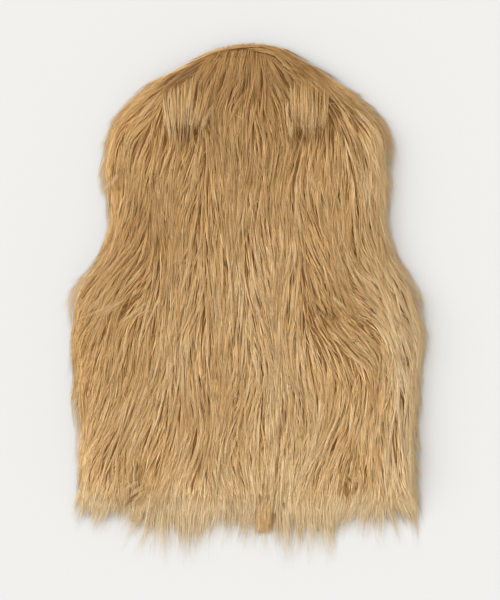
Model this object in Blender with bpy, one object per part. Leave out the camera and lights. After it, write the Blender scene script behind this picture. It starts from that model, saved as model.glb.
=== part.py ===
"""A vest of long-pile fur cloth, laid out face down: its back over its two fronts, and the hem's pile.

Metres, +Z up. +Y points to the neck, +X to the right of someone who looks down on the back.
The pieces are worked out in the garment's own measures, across from the centre back and up from the cut hem,
and an empty then carries them so that the origin lies under the middle of the vest.
"""

import math
import random
from collections import namedtuple

import bmesh
import bpy

MM = 0.001
SEAM_GAP = 0.3 * MM

# Heights of the layers as they lie, from the floor up
FRONT_THICKNESS = 10 * MM  # a front's fur cloth, its pile pressed flat under the vest
BACK_UNDERSIDE = FRONT_THICKNESS + SEAM_GAP
PILE_RIM = 3 * MM  # the back's thickness right at its edge
PILE_DEPTH = 19 * MM  # the back's cloth with its pile combed down
CROWN = 4 * MM  # how much fuller the pile is in the middle of the back
EDGE_ROLL = 36 * MM  # how far in from the edge the pile rounds over
HEM_LEAD = 9 * MM  # how far past the cut edge the pile's rounding runs at the hem

# The back's pile lies in locks that follow the outline down from the nape
LOCKS_ACROSS = 24
COLUMNS_PER_LOCK = 3
LOCK_LENGTH = 74 * MM
LOCK_RISE = 6 * MM
LOCK_FILLING = 1.2  # above 1, a lock stays low near its root and fills out towards its tip
EDGE_NOTCH = 7 * MM  # how far the outline steps in between two lock tips
BACK_ROWS = 46
ROW_CROWDING = 1.35  # above 1, rows lie closer together at the round top

# The fronts, cut a little narrower than the back's fur
FRONT_INSET = 12 * MM
FRONT_UNDERCUT = 7 * MM  # how far the pressed pile rounds in under the edge
FRONT_EDGE_HEIGHT = 6 * MM  # where a front's outer edge reaches furthest
CENTRE_EDGE_HEIGHT = 4 * MM  # below this, its centre edge rounds under
FRONT_ROWS = 30
CENTRE_GAP = 2 * MM
NECK_HALF_WIDTH = 74 * MM
NECK_LOW_POINT = 400 * MM  # up from the hem, where the two fronts part
NECK_CURVE = 0.8
SHOULDER_POINT = 582 * MM

# The pile that hangs past the hem
STRIP_WIDTH = 10 * MM
BACK_STRIP_HEIGHT = 16 * MM
STRIP_END_INSET = 3 * MM
BACK_LOCK_PITCH = 6.2 * MM
FRONT_LOCK_PITCH = 8.2 * MM
LOCK_PARTING = 0.6 * MM
LOCK_MID_SHARE = 0.55  # how far along a lock it is measured again
LOCK_MID_WIDTH = 0.74  # a lock's width there, as a share of the pitch
LOCK_MID_HEIGHT = 0.36  # how high it lies there, as a share of the strip's height
LOCK_MID_DEPTH = 0.48  # and how deep it is, as the same share
LOCK_TIP_HEIGHT = 0.16  # how high its tip lies, as the same share
LOCK_TIP_DROP = 0.4  # how far a tip sinks to the floor, as a share of the strip's own height off it
LOCK_TIP_SIZE = 0.5 * MM  # half width of a lock's tip
HEM_LEAN = 12 * MM  # how far the outermost tips lean away from the middle
TIP_STRAY = 2 * MM  # how far a tip strays from its place to either side
HEM_UNEVEN = 0.24  # the share by which the locks differ in length
FRONT_HANG_SHARE = 0.72

# The fur's outline: up from the hem, then the reach to either side of the centre back
Station = namedtuple("Station", "up left right")
OUTLINE = [
    Station(*(length * MM for length in row))
    for row in (
        (0, 232, 230),
        (70, 230, 230),
        (119, 233, 229),
        (167, 239, 233),
        (216, 238, 239),
        (265, 241, 233),
        (289, 236, 226),
        (321, 207, 204),
        (356, 190, 189),
        (418, 196, 190),
        (451, 199, 192),
        (483, 192, 193),
        (508, 184, 184),
        (540, 163, 152),
        (572, 120, 109),
        (589, 91, 88),
        (605, 59, 56),
        (614, 29, 33),
    )
]
NAPE = OUTLINE[-1].up
WIDEST = max(station.left + station.right for station in OUTLINE)

# How far the hem's pile hangs below the cut edge, across from left to right
HemReach = namedtuple("HemReach", "across hang")
HEM_REACH = [
    HemReach(*(length * MM for length in row))
    for row in (
        (-233, 30),
        (-208, 45),
        (-188, 50),
        (-172, 34),
        (-156, 50),
        (-118, 74),
        (-90, 78),
        (-60, 70),
        (-28, 60),
        (8, 50),
        (39, 62),
        (71, 74),
        (93, 77),
        (129, 63),
        (160, 58),
        (197, 58),
        (215, 45),
        (231, 31),
    )
]

# Broad swells and hollows of the pile: where each lies, its half sizes and its rise
Swell = namedtuple("Swell", "across up half_width half_length rise")
SWELLS = [
    Swell(*(length * MM for length in row))
    for row in (
        (-77, 529, 36, 24, 5),
        (-77, 489, 38, 13, -4),
        (74, 525, 34, 24, 5),
        (78, 488, 38, 13, -4),
        (-205, 290, 34, 36, 3),
        (104, 250, 48, 32, -4),
        (188, 232, 42, 54, 3),
        (-155, 12, 22, 20, -5),
        (128, 13, 24, 18, -4),
    )
]

FUR_COLOUR = (0.47, 0.29, 0.135, 1.0)
HEM_COLOUR = (0.55, 0.36, 0.18, 1.0)
FUR_ROUGHNESS = 0.75
SEED = 7


def smooth_curve(places, values):
    """A curve through the values that never swings past them, read at any place."""
    slopes = [(b - a) / (q - p) for p, q, a, b in zip(places, places[1:], values, values[1:])]
    tangents = [slopes[0]]
    for before, after in zip(slopes, slopes[1:]):
        turns = before * after <= 0
        tangents.append(0.0 if turns else 2 * before * after / (before + after))
    tangents.append(slopes[-1])

    def read(place):
        place = min(max(place, places[0]), places[-1])
        k = max(i for i in range(len(slopes)) if place >= places[i])
        span = places[k + 1] - places[k]
        t = (place - places[k]) / span
        rise = t * t * (3 - 2 * t)
        ease_in = t * (1 - t) ** 2 * span * tangents[k]
        ease_out = t * t * (t - 1) * span * tangents[k + 1]
        return values[k] * (1 - rise) + values[k + 1] * rise + ease_in + ease_out

    return read


left_reach = smooth_curve([s.up for s in OUTLINE], [s.left for s in OUTLINE])
right_reach = smooth_curve([s.up for s in OUTLINE], [s.right for s in OUTLINE])
hem_hang = smooth_curve([r.across for r in HEM_REACH], [r.hang for r in HEM_REACH])


def lock_phases():
    """Where along its length each column of locks starts, so that their tips don't line up."""
    draw = random.Random(SEED)
    return [draw.random() for _ in range(LOCKS_ACROSS)]


PHASES = lock_phases()


def lock_stage(column, up):
    """How far down its lock a point lies, from 0 at the root to 1 at the tip."""
    column = min(max(column, 0), LOCKS_ACROSS - 1)
    return ((NAPE - up) / LOCK_LENGTH + PHASES[column]) % 1.0


def swell_at(across, up):
    """The rise of the broad swells and hollows at one place."""
    total = 0.0
    for swell in SWELLS:
        off = math.hypot((across - swell.across) / swell.half_width, (up - swell.up) / swell.half_length)
        if off < 1:
            total += swell.rise * (0.5 + 0.5 * math.cos(math.pi * off))
    return total


def pile_top(across, up, share, edge_distance, width):
    """The height of the back's fur, where share runs from -1 at the left edge to 1 at the right."""
    inward = min(edge_distance / EDGE_ROLL, 1.0)
    roll = math.sqrt(1 - (1 - inward) ** 2)
    fullness = CROWN * (1 - share * share)
    lane = (share + 1) / 2 * LOCKS_ACROSS
    column = math.floor(lane)
    ridge = math.sin(math.pi * (lane - column))
    lock = LOCK_RISE * width / WIDEST * ridge * lock_stage(column, up) ** LOCK_FILLING
    body = PILE_DEPTH - PILE_RIM + fullness + swell_at(across, up) + lock
    return BACK_UNDERSIDE + PILE_RIM + roll * body


def back_row(up):
    """One row of the back's outer points, from its left edge to its right one."""
    columns = LOCKS_ACROSS * COLUMNS_PER_LOCK
    left = left_reach(up) - EDGE_NOTCH * (1 - lock_stage(0, up))
    right = right_reach(up) - EDGE_NOTCH * (1 - lock_stage(LOCKS_ACROSS - 1, up))
    width = left + right
    points = []
    for i in range(columns + 1):
        share = 2 * i / columns - 1
        across = (right - left) / 2 + share * width / 2
        edge_distance = min((1 - abs(share)) * width / 2, NAPE - up, HEM_LEAD + up)
        points.append((across, up, pile_top(across, up, share, edge_distance, width)))
    return points


def mesh_object(name, work, material):
    """Turns a bmesh into a named object whose faces point out."""
    bmesh.ops.recalc_face_normals(work, faces=work.faces[:])
    mesh = bpy.data.meshes.new(name)
    work.to_mesh(mesh)
    work.free()
    mesh.shade_smooth()
    mesh.set_sharp_from_angle(angle=math.radians(40))
    mesh.materials.append(material)
    made = bpy.data.objects.new(name, mesh)
    bpy.context.scene.collection.objects.link(made)
    return made


def make_back(material):
    """The back: a flat inside, and locks of pile raised in the outer points."""
    work = bmesh.new()
    heights = [NAPE * (1 - (1 - k / BACK_ROWS) ** ROW_CROWDING) for k in range(BACK_ROWS + 1)]
    top = [[work.verts.new(point) for point in back_row(up)] for up in heights]
    inside = [
        [work.verts.new((row[end].co.x, row[end].co.y, BACK_UNDERSIDE)) for end in (0, -1)] for row in top
    ]
    for row, above, flat, flat_above in zip(top, top[1:], inside, inside[1:]):
        for i in range(len(row) - 1):
            work.faces.new((row[i], row[i + 1], above[i + 1], above[i]))
        work.faces.new((row[0], above[0], flat_above[0], flat[0]))
        work.faces.new((row[-1], flat[1], flat_above[1], above[-1]))
        work.faces.new((flat[0], flat_above[0], flat_above[1], flat[1]))
    for row, flat in ((top[0], inside[0]), (top[-1], inside[-1])):
        work.faces.new([*row, flat[1], flat[0]])
    return mesh_object("back", work, material)


def neck_edge(up):
    """How far from the centre a front's inner edge runs: up the opening, then out round the neck."""
    if up <= NECK_LOW_POINT:
        return CENTRE_GAP / 2
    climb = (up - NECK_LOW_POINT) / (SHOULDER_POINT - NECK_LOW_POINT)
    return CENTRE_GAP / 2 + (NECK_HALF_WIDTH - CENTRE_GAP / 2) * climb**NECK_CURVE


def front_section(up, side, reach):
    """The ring of a front's wall at one height: flat above and where it rests, rounded at its edges."""
    inner = neck_edge(up)
    outer = reach(up) - FRONT_INSET
    undercut = min(FRONT_UNDERCUT, (outer - inner) / 3)
    profile = (
        (inner, FRONT_THICKNESS),
        (outer - undercut / 3, FRONT_THICKNESS),
        (outer, FRONT_EDGE_HEIGHT),
        (outer - undercut, 0.0),
        (inner + undercut / 3, 0.0),
        (inner, CENTRE_EDGE_HEIGHT),
    )
    return [(side * across, up, height) for across, height in profile]


def make_front(name, side, reach, material):
    """One front: rings of its wall from the hem up to the shoulder."""
    work = bmesh.new()
    rings = []
    for k in range(FRONT_ROWS + 1):
        section = front_section(SHOULDER_POINT * k / FRONT_ROWS, side, reach)
        rings.append([work.verts.new(point) for point in section])
    for ring, above in zip(rings, rings[1:]):
        for i in range(len(ring)):
            j = (i + 1) % len(ring)
            work.faces.new((ring[i], ring[j], above[j], above[i]))
    for end in (rings[0], rings[-1]):
        work.faces.new(end)
    return mesh_object(name, work, material)


def square(work, across, up, height, half_width, half_height):
    """Four points of a lock's outline, seen along the lock."""
    corners = ((-1, -1), (1, -1), (1, 1), (-1, 1))
    return [work.verts.new((across + a * half_width, up, height + b * half_height)) for a, b in corners]


def ring_faces(work, ring, following):
    """Joins two rings of four points by their sides."""
    for i in range(4):
        j = (i + 1) % 4
        work.faces.new((ring[i], ring[j], following[j], following[i]))


def make_hem_locks(name, left, right, lock_pitch, floor_height, strip_height, hang_share, material):
    """A narrow strip along the hem with one tapering lock of pile for each pitch, free but for its root."""
    work = bmesh.new()
    draw = random.Random(name)
    count = round((right - left) / lock_pitch)
    pitch = (right - left) / count
    rear, fore = -SEAM_GAP, -SEAM_GAP - STRIP_WIDTH
    low, high = floor_height, floor_height + strip_height
    middle = (low + high) / 2
    across_at = [left + i * pitch for i in range(count + 1)]
    rear_low = [work.verts.new((x, rear, low)) for x in across_at]
    rear_high = [work.verts.new((x, rear, high)) for x in across_at]
    fore_low = [work.verts.new((x, fore, low)) for x in across_at]
    fore_high = [work.verts.new((x, fore, high)) for x in across_at]
    for i in range(count):
        work.faces.new((rear_low[i], rear_low[i + 1], rear_high[i + 1], rear_high[i]))
        work.faces.new((rear_high[i], rear_high[i + 1], fore_high[i + 1], fore_high[i]))
        work.faces.new((rear_low[i], rear_low[i + 1], fore_low[i + 1], fore_low[i]))
        cell = (fore_low[i], fore_low[i + 1], fore_high[i + 1], fore_high[i])
        across = (across_at[i] + across_at[i + 1]) / 2
        hang = hem_hang(across) * hang_share * draw.uniform(1 - HEM_UNEVEN, 1)
        lean = HEM_LEAN * across / OUTLINE[0].left
        stray = draw.uniform(-TIP_STRAY, TIP_STRAY)
        root = square(work, across, fore, middle, pitch / 2 - LOCK_PARTING, strip_height / 2 - LOCK_PARTING)
        belly = square(
            work,
            across + lean * LOCK_MID_SHARE + stray * LOCK_MID_SHARE**2,
            fore - (hang - STRIP_WIDTH) * LOCK_MID_SHARE,
            floor_height + strip_height * LOCK_MID_HEIGHT,
            pitch / 2 * LOCK_MID_WIDTH,
            strip_height / 2 * LOCK_MID_DEPTH,
        )
        tip = square(
            work,
            across + lean + stray,
            fore - (hang - STRIP_WIDTH),
            floor_height * (1 - LOCK_TIP_DROP) + strip_height * LOCK_TIP_HEIGHT,
            LOCK_TIP_SIZE,
            LOCK_TIP_SIZE,
        )
        for ring, following in ((cell, root), (root, belly), (belly, tip)):
            ring_faces(work, ring, following)
        work.faces.new(tip)
    for i in (0, count):
        work.faces.new((rear_low[i], rear_high[i], fore_high[i], fore_low[i]))
    return mesh_object(name, work, material)


def fur_material(name, colour):
    """A plain finish in the fur's colour."""
    material = bpy.data.materials.new(name)
    material.use_nodes = True
    finish = material.node_tree.nodes["Principled BSDF"]
    finish.inputs["Base Color"].default_value = colour
    finish.inputs["Roughness"].default_value = FUR_ROUGHNESS
    finish.inputs["Metallic"].default_value = 0.0
    return material


def make_fronts(material):
    """Both fronts, and the strip of hem locks along each."""
    made = []
    for name, side, reach in (("front_left", -1, left_reach), ("front_right", 1, right_reach)):
        made.append(make_front(name, side, reach, material))
        inner, outer = CENTRE_GAP, reach(0) - FRONT_INSET - FRONT_UNDERCUT
        left, right = sorted((side * inner, side * outer))
        locks = make_hem_locks(
            name + "_hem_locks",
            left,
            right,
            FRONT_LOCK_PITCH,
            0.0,
            FRONT_THICKNESS,
            FRONT_HANG_SHARE,
            material,
        )
        made.append(locks)
    return made


def carry(pieces):
    """An empty that holds the pieces so that the origin lies on the floor under their middle."""
    corners = [vertex.co for piece in pieces for vertex in piece.data.vertices]
    carrier = bpy.data.objects.new("vest", None)
    bpy.context.scene.collection.objects.link(carrier)
    for axis in (0, 1):
        low = min(corner[axis] for corner in corners)
        high = max(corner[axis] for corner in corners)
        carrier.location[axis] = -(low + high) / 2
    for piece in pieces:
        piece.parent = carrier


def main():
    for old in list(bpy.data.objects):
        bpy.data.objects.remove(old)
    fur = fur_material("fur", FUR_COLOUR)
    hem_fur = fur_material("hem_fur", HEM_COLOUR)
    back = make_back(fur)
    back_locks = make_hem_locks(
        "back_hem_locks",
        -OUTLINE[0].left + STRIP_END_INSET,
        OUTLINE[0].right - STRIP_END_INSET,
        BACK_LOCK_PITCH,
        BACK_UNDERSIDE,
        BACK_STRIP_HEIGHT,
        1.0,
        hem_fur,
    )
    carry([back, back_locks, *make_fronts(fur)])


main()
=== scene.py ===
"""The looks of a long-pile fur vest that lies flat with its back up: cloth, pile, floor, light and camera.

Metres, in the part's own frame. Places on the vest are given across from its centre line and up from its hem.
"""

import math
from collections import namedtuple
from typing import NamedTuple

import bpy
import numpy as np
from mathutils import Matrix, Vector


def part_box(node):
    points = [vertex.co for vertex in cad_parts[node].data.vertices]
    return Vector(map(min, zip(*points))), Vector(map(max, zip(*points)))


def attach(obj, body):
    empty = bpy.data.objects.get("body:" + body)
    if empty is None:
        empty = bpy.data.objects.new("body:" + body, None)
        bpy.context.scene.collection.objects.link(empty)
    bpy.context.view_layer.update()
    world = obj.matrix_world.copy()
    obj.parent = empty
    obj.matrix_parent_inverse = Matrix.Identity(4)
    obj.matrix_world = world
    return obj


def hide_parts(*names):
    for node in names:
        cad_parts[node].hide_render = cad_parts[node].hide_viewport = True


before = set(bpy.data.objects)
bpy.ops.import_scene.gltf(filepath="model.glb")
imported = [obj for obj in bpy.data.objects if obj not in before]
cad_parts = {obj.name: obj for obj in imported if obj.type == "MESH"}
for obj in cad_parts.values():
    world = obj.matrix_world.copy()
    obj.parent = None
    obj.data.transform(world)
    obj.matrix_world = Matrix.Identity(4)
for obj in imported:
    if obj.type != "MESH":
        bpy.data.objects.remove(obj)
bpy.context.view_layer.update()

MM = 0.001
DEGREE = math.radians(1)
SEED = 11
DRAW_LIMIT = 2.5


def table(kind, units, rows):
    """Rows of one kind, each number in its own unit."""
    return [kind(*(number * unit for number, unit in zip(row, units))) for row in rows]


# Where the vest lies in the frame
CENTRE = (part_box("front_left")[1].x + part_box("front_right")[0].x) / 2
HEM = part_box("back")[0].y
BACK_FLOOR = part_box("back")[0].z
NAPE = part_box("back")[1].y - HEM
FRONT_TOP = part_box("front_left")[1].z
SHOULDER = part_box("front_left")[1].y - HEM

# The cloth under the pile
CLOTH_THICKNESS = 1.4 * MM
BACK_CLOTH_LIFT = 0.4 * MM
BACK_CLOTH_INSET = 5 * MM
FRONT_CLOTH_INSET = 8 * MM
FRONT_CLOTH_DROP = 0.6 * MM  # how far a front's cloth lies below its solid's top
CLOTH_WAVE = 0.35 * MM
HEM_TURN = 2 * MM  # how far the cloth's ends stay inside the solids'
NARROWEST = 6 * MM
FRONT_INSET = 9 * MM
CENTRE_GAP = 2 * MM
NECK_HALF_WIDTH = 74 * MM
NECK_LOW_POINT = 400 * MM
NECK_CURVE = 0.8
CLOTH_WAVE_SIZE = 40 * MM
CLOTH_WAVE_SHARE = 0.4
CLOTH_WAVE_SALTS = (5, 6)  # for the back and for the fronts
BACK_GRID = (60, 40)  # rows up and places across in a shell
FRONT_GRID = (50, 20)

# The pile of the back
PILE_RIM = 3 * MM
PILE_DEPTH = 20 * MM
CROWN = 4 * MM
EDGE_ROLL = 46 * MM
ROLL_POWER = 2.3
HEM_FALL = (-38 * MM, 62 * MM)  # between these heights the pile sinks from its full depth to its tips
HEM_TIP_SHARE = 0.1
HEM_DROP = 13 * MM  # how far the tips sink towards the floor past the hem
HEM_DROPS = (12 * MM, -30 * MM)  # between these heights they do so
HEM_UNDER = (4 * MM, 50 * MM)
HEM_UNDER_SHARE = 0.75  # how high the hem's own hairs stand in the pile above the second of these heights
EDGE_DROOP = 8 * MM  # how far in from the outline hairs begin to sink to the floor
OUTSIDE_DROP = 11 * MM
OUTSIDE_REACH = 14 * MM
DOME_RISE = 1.5 * MM  # how much the fur rounds up over the nape
DOME_MIDDLE = 3 * MM
DOME_HALF_WIDTH = 60 * MM  # how far out the nape is round
DOME_BREADTH = 300 * MM
FLOOR_CLEARANCE = 0.8 * MM
RIGHT_TRIM = 4 * MM  # how far the pile's dense edge lies inside the outline on the right, below the shoulder
RIGHT_TRIM_CHANGE = (500 * MM, 560 * MM)
UNDER_SHARE = 0.93  # how high the undercoat stands in the pile
# painted shade: how much darker the undercoat's hairs are, as the shade deep in the pile
UNDERCOAT_SHADE = 0.1
UNDERFUR_SHARE = 0.78  # how high the felted underfur lies in the pile
UNDERFUR_INSET = 20 * MM
UNDERFUR_LOW = 10 * MM
STREAK_PITCH = 1.5 * MM
STREAK_DETAIL = 3.0
# painted light: how much paler the hem's own hairs are, lightening thin tips that let light through and the
# hem shaded by the pile above
HEM_PAINTED_LIGHT = 0.22

# Hairs, from root to tip
STRAIGHT = (0.0, 0.3, 0.65, 1.0)
LONG = (0.0, 0.18, 0.42, 0.7, 1.0)
CURLED = (0.0, 0.14, 0.3, 0.48, 0.66, 0.84, 1.0)
CUT = (0.0, 0.3, 0.65, 0.94, 1.0)
FULL_WIDTH_FROM = 0.2
WIDTH_SHARES = (0.4, 1.0, 0.9, 0.0)  # at the root, where it is full, where it begins to taper, and at the tip
HAIR_FLATNESS = 0.65
WIDTH_RANGE = (0.7, 1.3)  # the finest and the broadest hair, as shares of its style's width
WAVES = 1.6  # how often a hair waves along its length
WIDTH_SALT = 7
CHART_STEP = 1 / 256  # how far apart a hair's three corners lie on its map
HAIRS_PER_PIECE = 9000
ROOT_SINK = 1 * MM  # how far below the top of the pile a root lies at least
RISE_POWER = 4.0  # how soon a hair comes up from its root to the top of the pile


# Locks of hairs
class FurStyle(NamedTuple):
    """How the hairs of one kind of lock grow and lie."""

    hairs: int  # in each lock
    radius: float  # within which they root
    gather: float  # how far they draw to their lock's middle
    big_gather: float  # and to the big lock around it
    loose: float  # the share of them that don't
    shortest: float  # as a share of the longest
    fade: float  # how few of them are long
    sway: float  # a hair's bow to the side
    stray: float  # how far a lock turns off the lie of the pile
    wave: float  # a hair's waves
    curl: float  # how far a lock turns along its length
    level: float  # how unevenly high locks lie
    tone: float  # how much hairs differ in tone
    width: float
    freedom: float  # how far a hair may pass a line inside the outline
    margin: float  # how far inside that line may lie
    stations: tuple  # where along a hair its rings are
    shading: tuple  # its map at the root and at the tip
    taper: float  # from where on it narrows to its tip


BODY = FurStyle(
    hairs=9, radius=2.5 * MM, gather=0.4, big_gather=0.12, loose=0.12, shortest=0.52, fade=1.0,
    sway=0.55 * MM, stray=3.5 * DEGREE, wave=0.2 * MM, curl=7 * DEGREE, level=0.06, tone=0.025,
    width=0.84 * MM, freedom=4 * MM, margin=8 * MM, stations=LONG, shading=(0.34, 1.0), taper=0.6,
)
UNDERCOAT = BODY._replace(
    hairs=1, radius=0.0, shortest=0.95, tone=0.05, width=3 * MM, stations=STRAIGHT, shading=(0.38, 0.7)
)
HEM_PILE = BODY._replace(
    hairs=12, radius=4.6 * MM, gather=0.05, loose=0.4, shortest=0.36, fade=1.45, curl=4 * DEGREE,
    width=0.46 * MM, freedom=5 * MM, margin=0.0, stations=STRAIGHT, taper=0.32,
)
WISP = BODY._replace(
    hairs=13, radius=3.6 * MM, gather=0.45, loose=0.3, shortest=0.6, sway=1.4 * MM, width=0.36 * MM,
    freedom=9 * MM, margin=0.0, stations=CURLED, shading=(0.5, 1.0),
)
CAP = WISP._replace(hairs=16, gather=0.4, loose=0.2, width=0.6 * MM, freedom=1.5 * MM, shading=(0.35, 1.0))
TUFT = WISP._replace(radius=3.8 * MM, gather=0.3, width=0.72 * MM, shading=(0.1, 1.0))
BLUNT = TUFT._replace(
    hairs=24, radius=2.2 * MM, gather=0.0, loose=0.0, shortest=0.96, sway=0.3 * MM, tone=0.14,
    width=0.42 * MM, stations=CUT, shading=(0.5, 0.75), taper=0.94,
)
# the style of the dark strands of painted shade in the hollows
SHADE_SLIT = WISP._replace(hairs=7, radius=0.9 * MM, gather=0.2, width=0.5 * MM, shading=(0.5, 0.55))
RIM = CAP._replace(
    hairs=9, radius=1.3 * MM, gather=0.2, width=0.45 * MM, freedom=0.8 * MM, shading=(0.35, 0.9)
)
STRAY = WISP._replace(hairs=3, radius=1.2 * MM, gather=0.5)
EDGE = WISP._replace(hairs=5, radius=3 * MM, gather=0.3, width=0.24 * MM, stations=STRAIGHT)
PRESSED = BODY._replace(hairs=4, radius=3.3 * MM, width=2 * MM, stations=STRAIGHT)
PRESSED_HEM = HEM_PILE._replace(hairs=5, width=0.9 * MM, fade=1.0)

Locks = namedtuple("Locks", "paths pull reach level tone")
LOCK_SPACING = 10.2 * MM
BIG_LOCK_SPACING = 19 * MM
ROW_PITCH = 0.87  # how far apart rows of locks lie, as a share of their spacing
ROOT_SHIFT = 0.8  # how unevenly roots lie in their rows, also as a share
LOCK_LENGTH = 124 * MM
LOCK_UNEVEN = 0.16
LOCK_LIFT = 0.36  # how far a lock's hairs lie above and below its middle, as a share of its radius
LOCK_TONE = 0.08
BIG_LOCK_TONE = 0.05
PAINTED_SIDE_SHADE = 0.06  # how much darker a lock is painted on its right, the side away from the light: painted shade
PAINTED_SHADE_FALL = 0.34  # how much paler the pile is at the hem than at the nape: painted shade at the nape, painted light at the hem
FREEDOM_SPREAD = 3.0  # how much further than the others the freest hairs pass the outline
PATH_STEPS = 12
SEEN_STEP = 2 * PATH_STEPS // 3  # the step of its path at which a lock's tone is read
PULL_POWER = 1.3  # how late along its length a hair is drawn to its big lock
FREEDOM_POWER = 3
TONE_LIMITS = (0.02, 0.98)
TINY = 1e-12
LEAST_RADIUS = 1e-9


# The coats of the back
class Coat(NamedTuple):
    """Where the locks of one coat root and how far they run."""

    spacing: float  # how far apart they root
    low: float  # from how far up
    inset: float  # how far in from the outline
    nape_inset: float  # the same near the nape
    length: float
    hangs: tuple  # how far past the hem they may hang, from and to, as shares of its reach
    style: FurStyle
    salt: int  # the first of the locks' draws
    hair_salt: int  # the first of their hairs' draws


UNDER_LAYER = Coat(7.8 * MM, 0.0, 22 * MM, 14 * MM, 62 * MM, (0.0, 0.2), UNDERCOAT, 20, 32)
BODY_LAYER = Coat(LOCK_SPACING, 34 * MM, 5.5 * MM, 6 * MM, LOCK_LENGTH, (0.35, 0.95), BODY, 40, 60)
CROWN_LAYER = Coat(13.4 * MM, 440 * MM, 5.5 * MM, 6 * MM, 96 * MM, (0.5, 1.4), BODY, 270, 290)
ROOT_LIMIT = 0.25  # how far out from the centre roots are looked for
NAPE_ZONE = 130 * MM  # how far down from its top the nape counts
BACK_ROOT_HEIGHT = BACK_FLOOR + BACK_CLOTH_LIFT + CLOTH_THICKNESS
HEM_LOCK_SPACING = 5.8 * MM
HEM_SIDES = (-0.226, 0.224)
HEM_ROOT_TOP = 44 * MM
HEM_HANGS = (0.66, 1.31)  # how far past the hem its shortest and longest locks run, as shares of its reach
HEM_SALT = 70

# The fronts' pile, pressed under the vest
PRESSED_LEVEL = 2.2 * MM  # how high it lies
PRESSED_SPACING = 15 * MM
PRESSED_HANG = 0.7  # how far past the hem it hangs at most, as a share of its reach
FRONT_ROOT_LIMIT = 0.24
FRONT_ROOT_INSETS = (4 * MM, 10 * MM)  # how far in from the inner and the outer edge
FRONT_ROOT_HEIGHT = FRONT_TOP - FRONT_CLOTH_DROP - CLOTH_THICKNESS - CLOTH_WAVE
PRESSED_HEM_SPACING = 6 * MM
PRESSED_HEM_HANG = 0.35
PRESSED_HEM_SHARES = (0.8, 0.2)  # of that hang, what all locks have and what the longest have more
FRONT_HEM_SIDES = (4 * MM, 0.214)
FRONT_HEM_ROOT_TOP = 12 * MM

# The lie of the pile
SHOULDER_FAN = 0.9  # how closely it follows the outline's slope out from the nape
SIDE_FAN = 0.3  # and further down
FAN_CHANGE = (390 * MM, 480 * MM)
EDGE_LEAN = 12 * DEGREE
EDGE_PULL = 9 * MM  # how near the edge hairs turn to run along it
EDGE_FLICK = 5 * DEGREE
PARTING = 26 * MM  # how wide the parting at the nape is
LEAN_UNEVEN = 7 * DEGREE
LEAN_NOISE_SIZE = 36 * MM
BIG_LOCK_STRAY = 4.5 * DEGREE
EDGE_LEAN_POWER = 1.5
SHARE_LIMIT = 1.1
LEAN_SALT = 3
NOISE_WAVES = 7
NOISE_PITCHES = (1.4, 3.2)  # the shortest and the longest wave, as shares of the size asked for
NOISE_STRETCH = 0.6  # swells are this much shorter across than up

CombMark = namedtuple("CombMark", "across up reach turn bend")
COMB_MARKS = table(CombMark, (MM, MM, MM, DEGREE, DEGREE), (
    (-196, 285, 70, -17, -10),
    (-165, 130, 80, -9, 0),
    (150, 270, 62, 20, 30),
    (128, 62, 56, -26, -15),
    (-140, 40, 62, -12, 0),
    (195, 20, 40, 16, 0),
    (-10, 300, 52, 9, 0),
    (188, 135, 66, -9, 0),
    (-92, 525, 38, 26, 0),
    (70, 520, 38, -20, 0),
    (-160, 500, 30, -22, 0),
    (110, 235, 30, 20, 50),
    (44, 590, 26, 14, 0),
    (-32, 590, 26, 14, 0),
))

# Places where the pile breaks: hairs from above end there and the roots below show
Break = namedtuple("Break", "across up half_width half_length")
BREAKS = table(Break, (MM,) * 4, (
    (-75, 491, 27, 7),
    (80, 493, 24, 7),
    (133, 520, 7, 9),
    (100, 236, 20, 15),
    (156, 236, 7, 11),
    (-156, 270, 8, 8),
    (-150, 10, 15, 10),
    (138, 27, 9, 6),
))
BREAK_SHARE = 0.66  # the share of locks that end at a break
BROKEN_LEAST = 0.2  # how much of its path such a lock keeps at least

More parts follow.
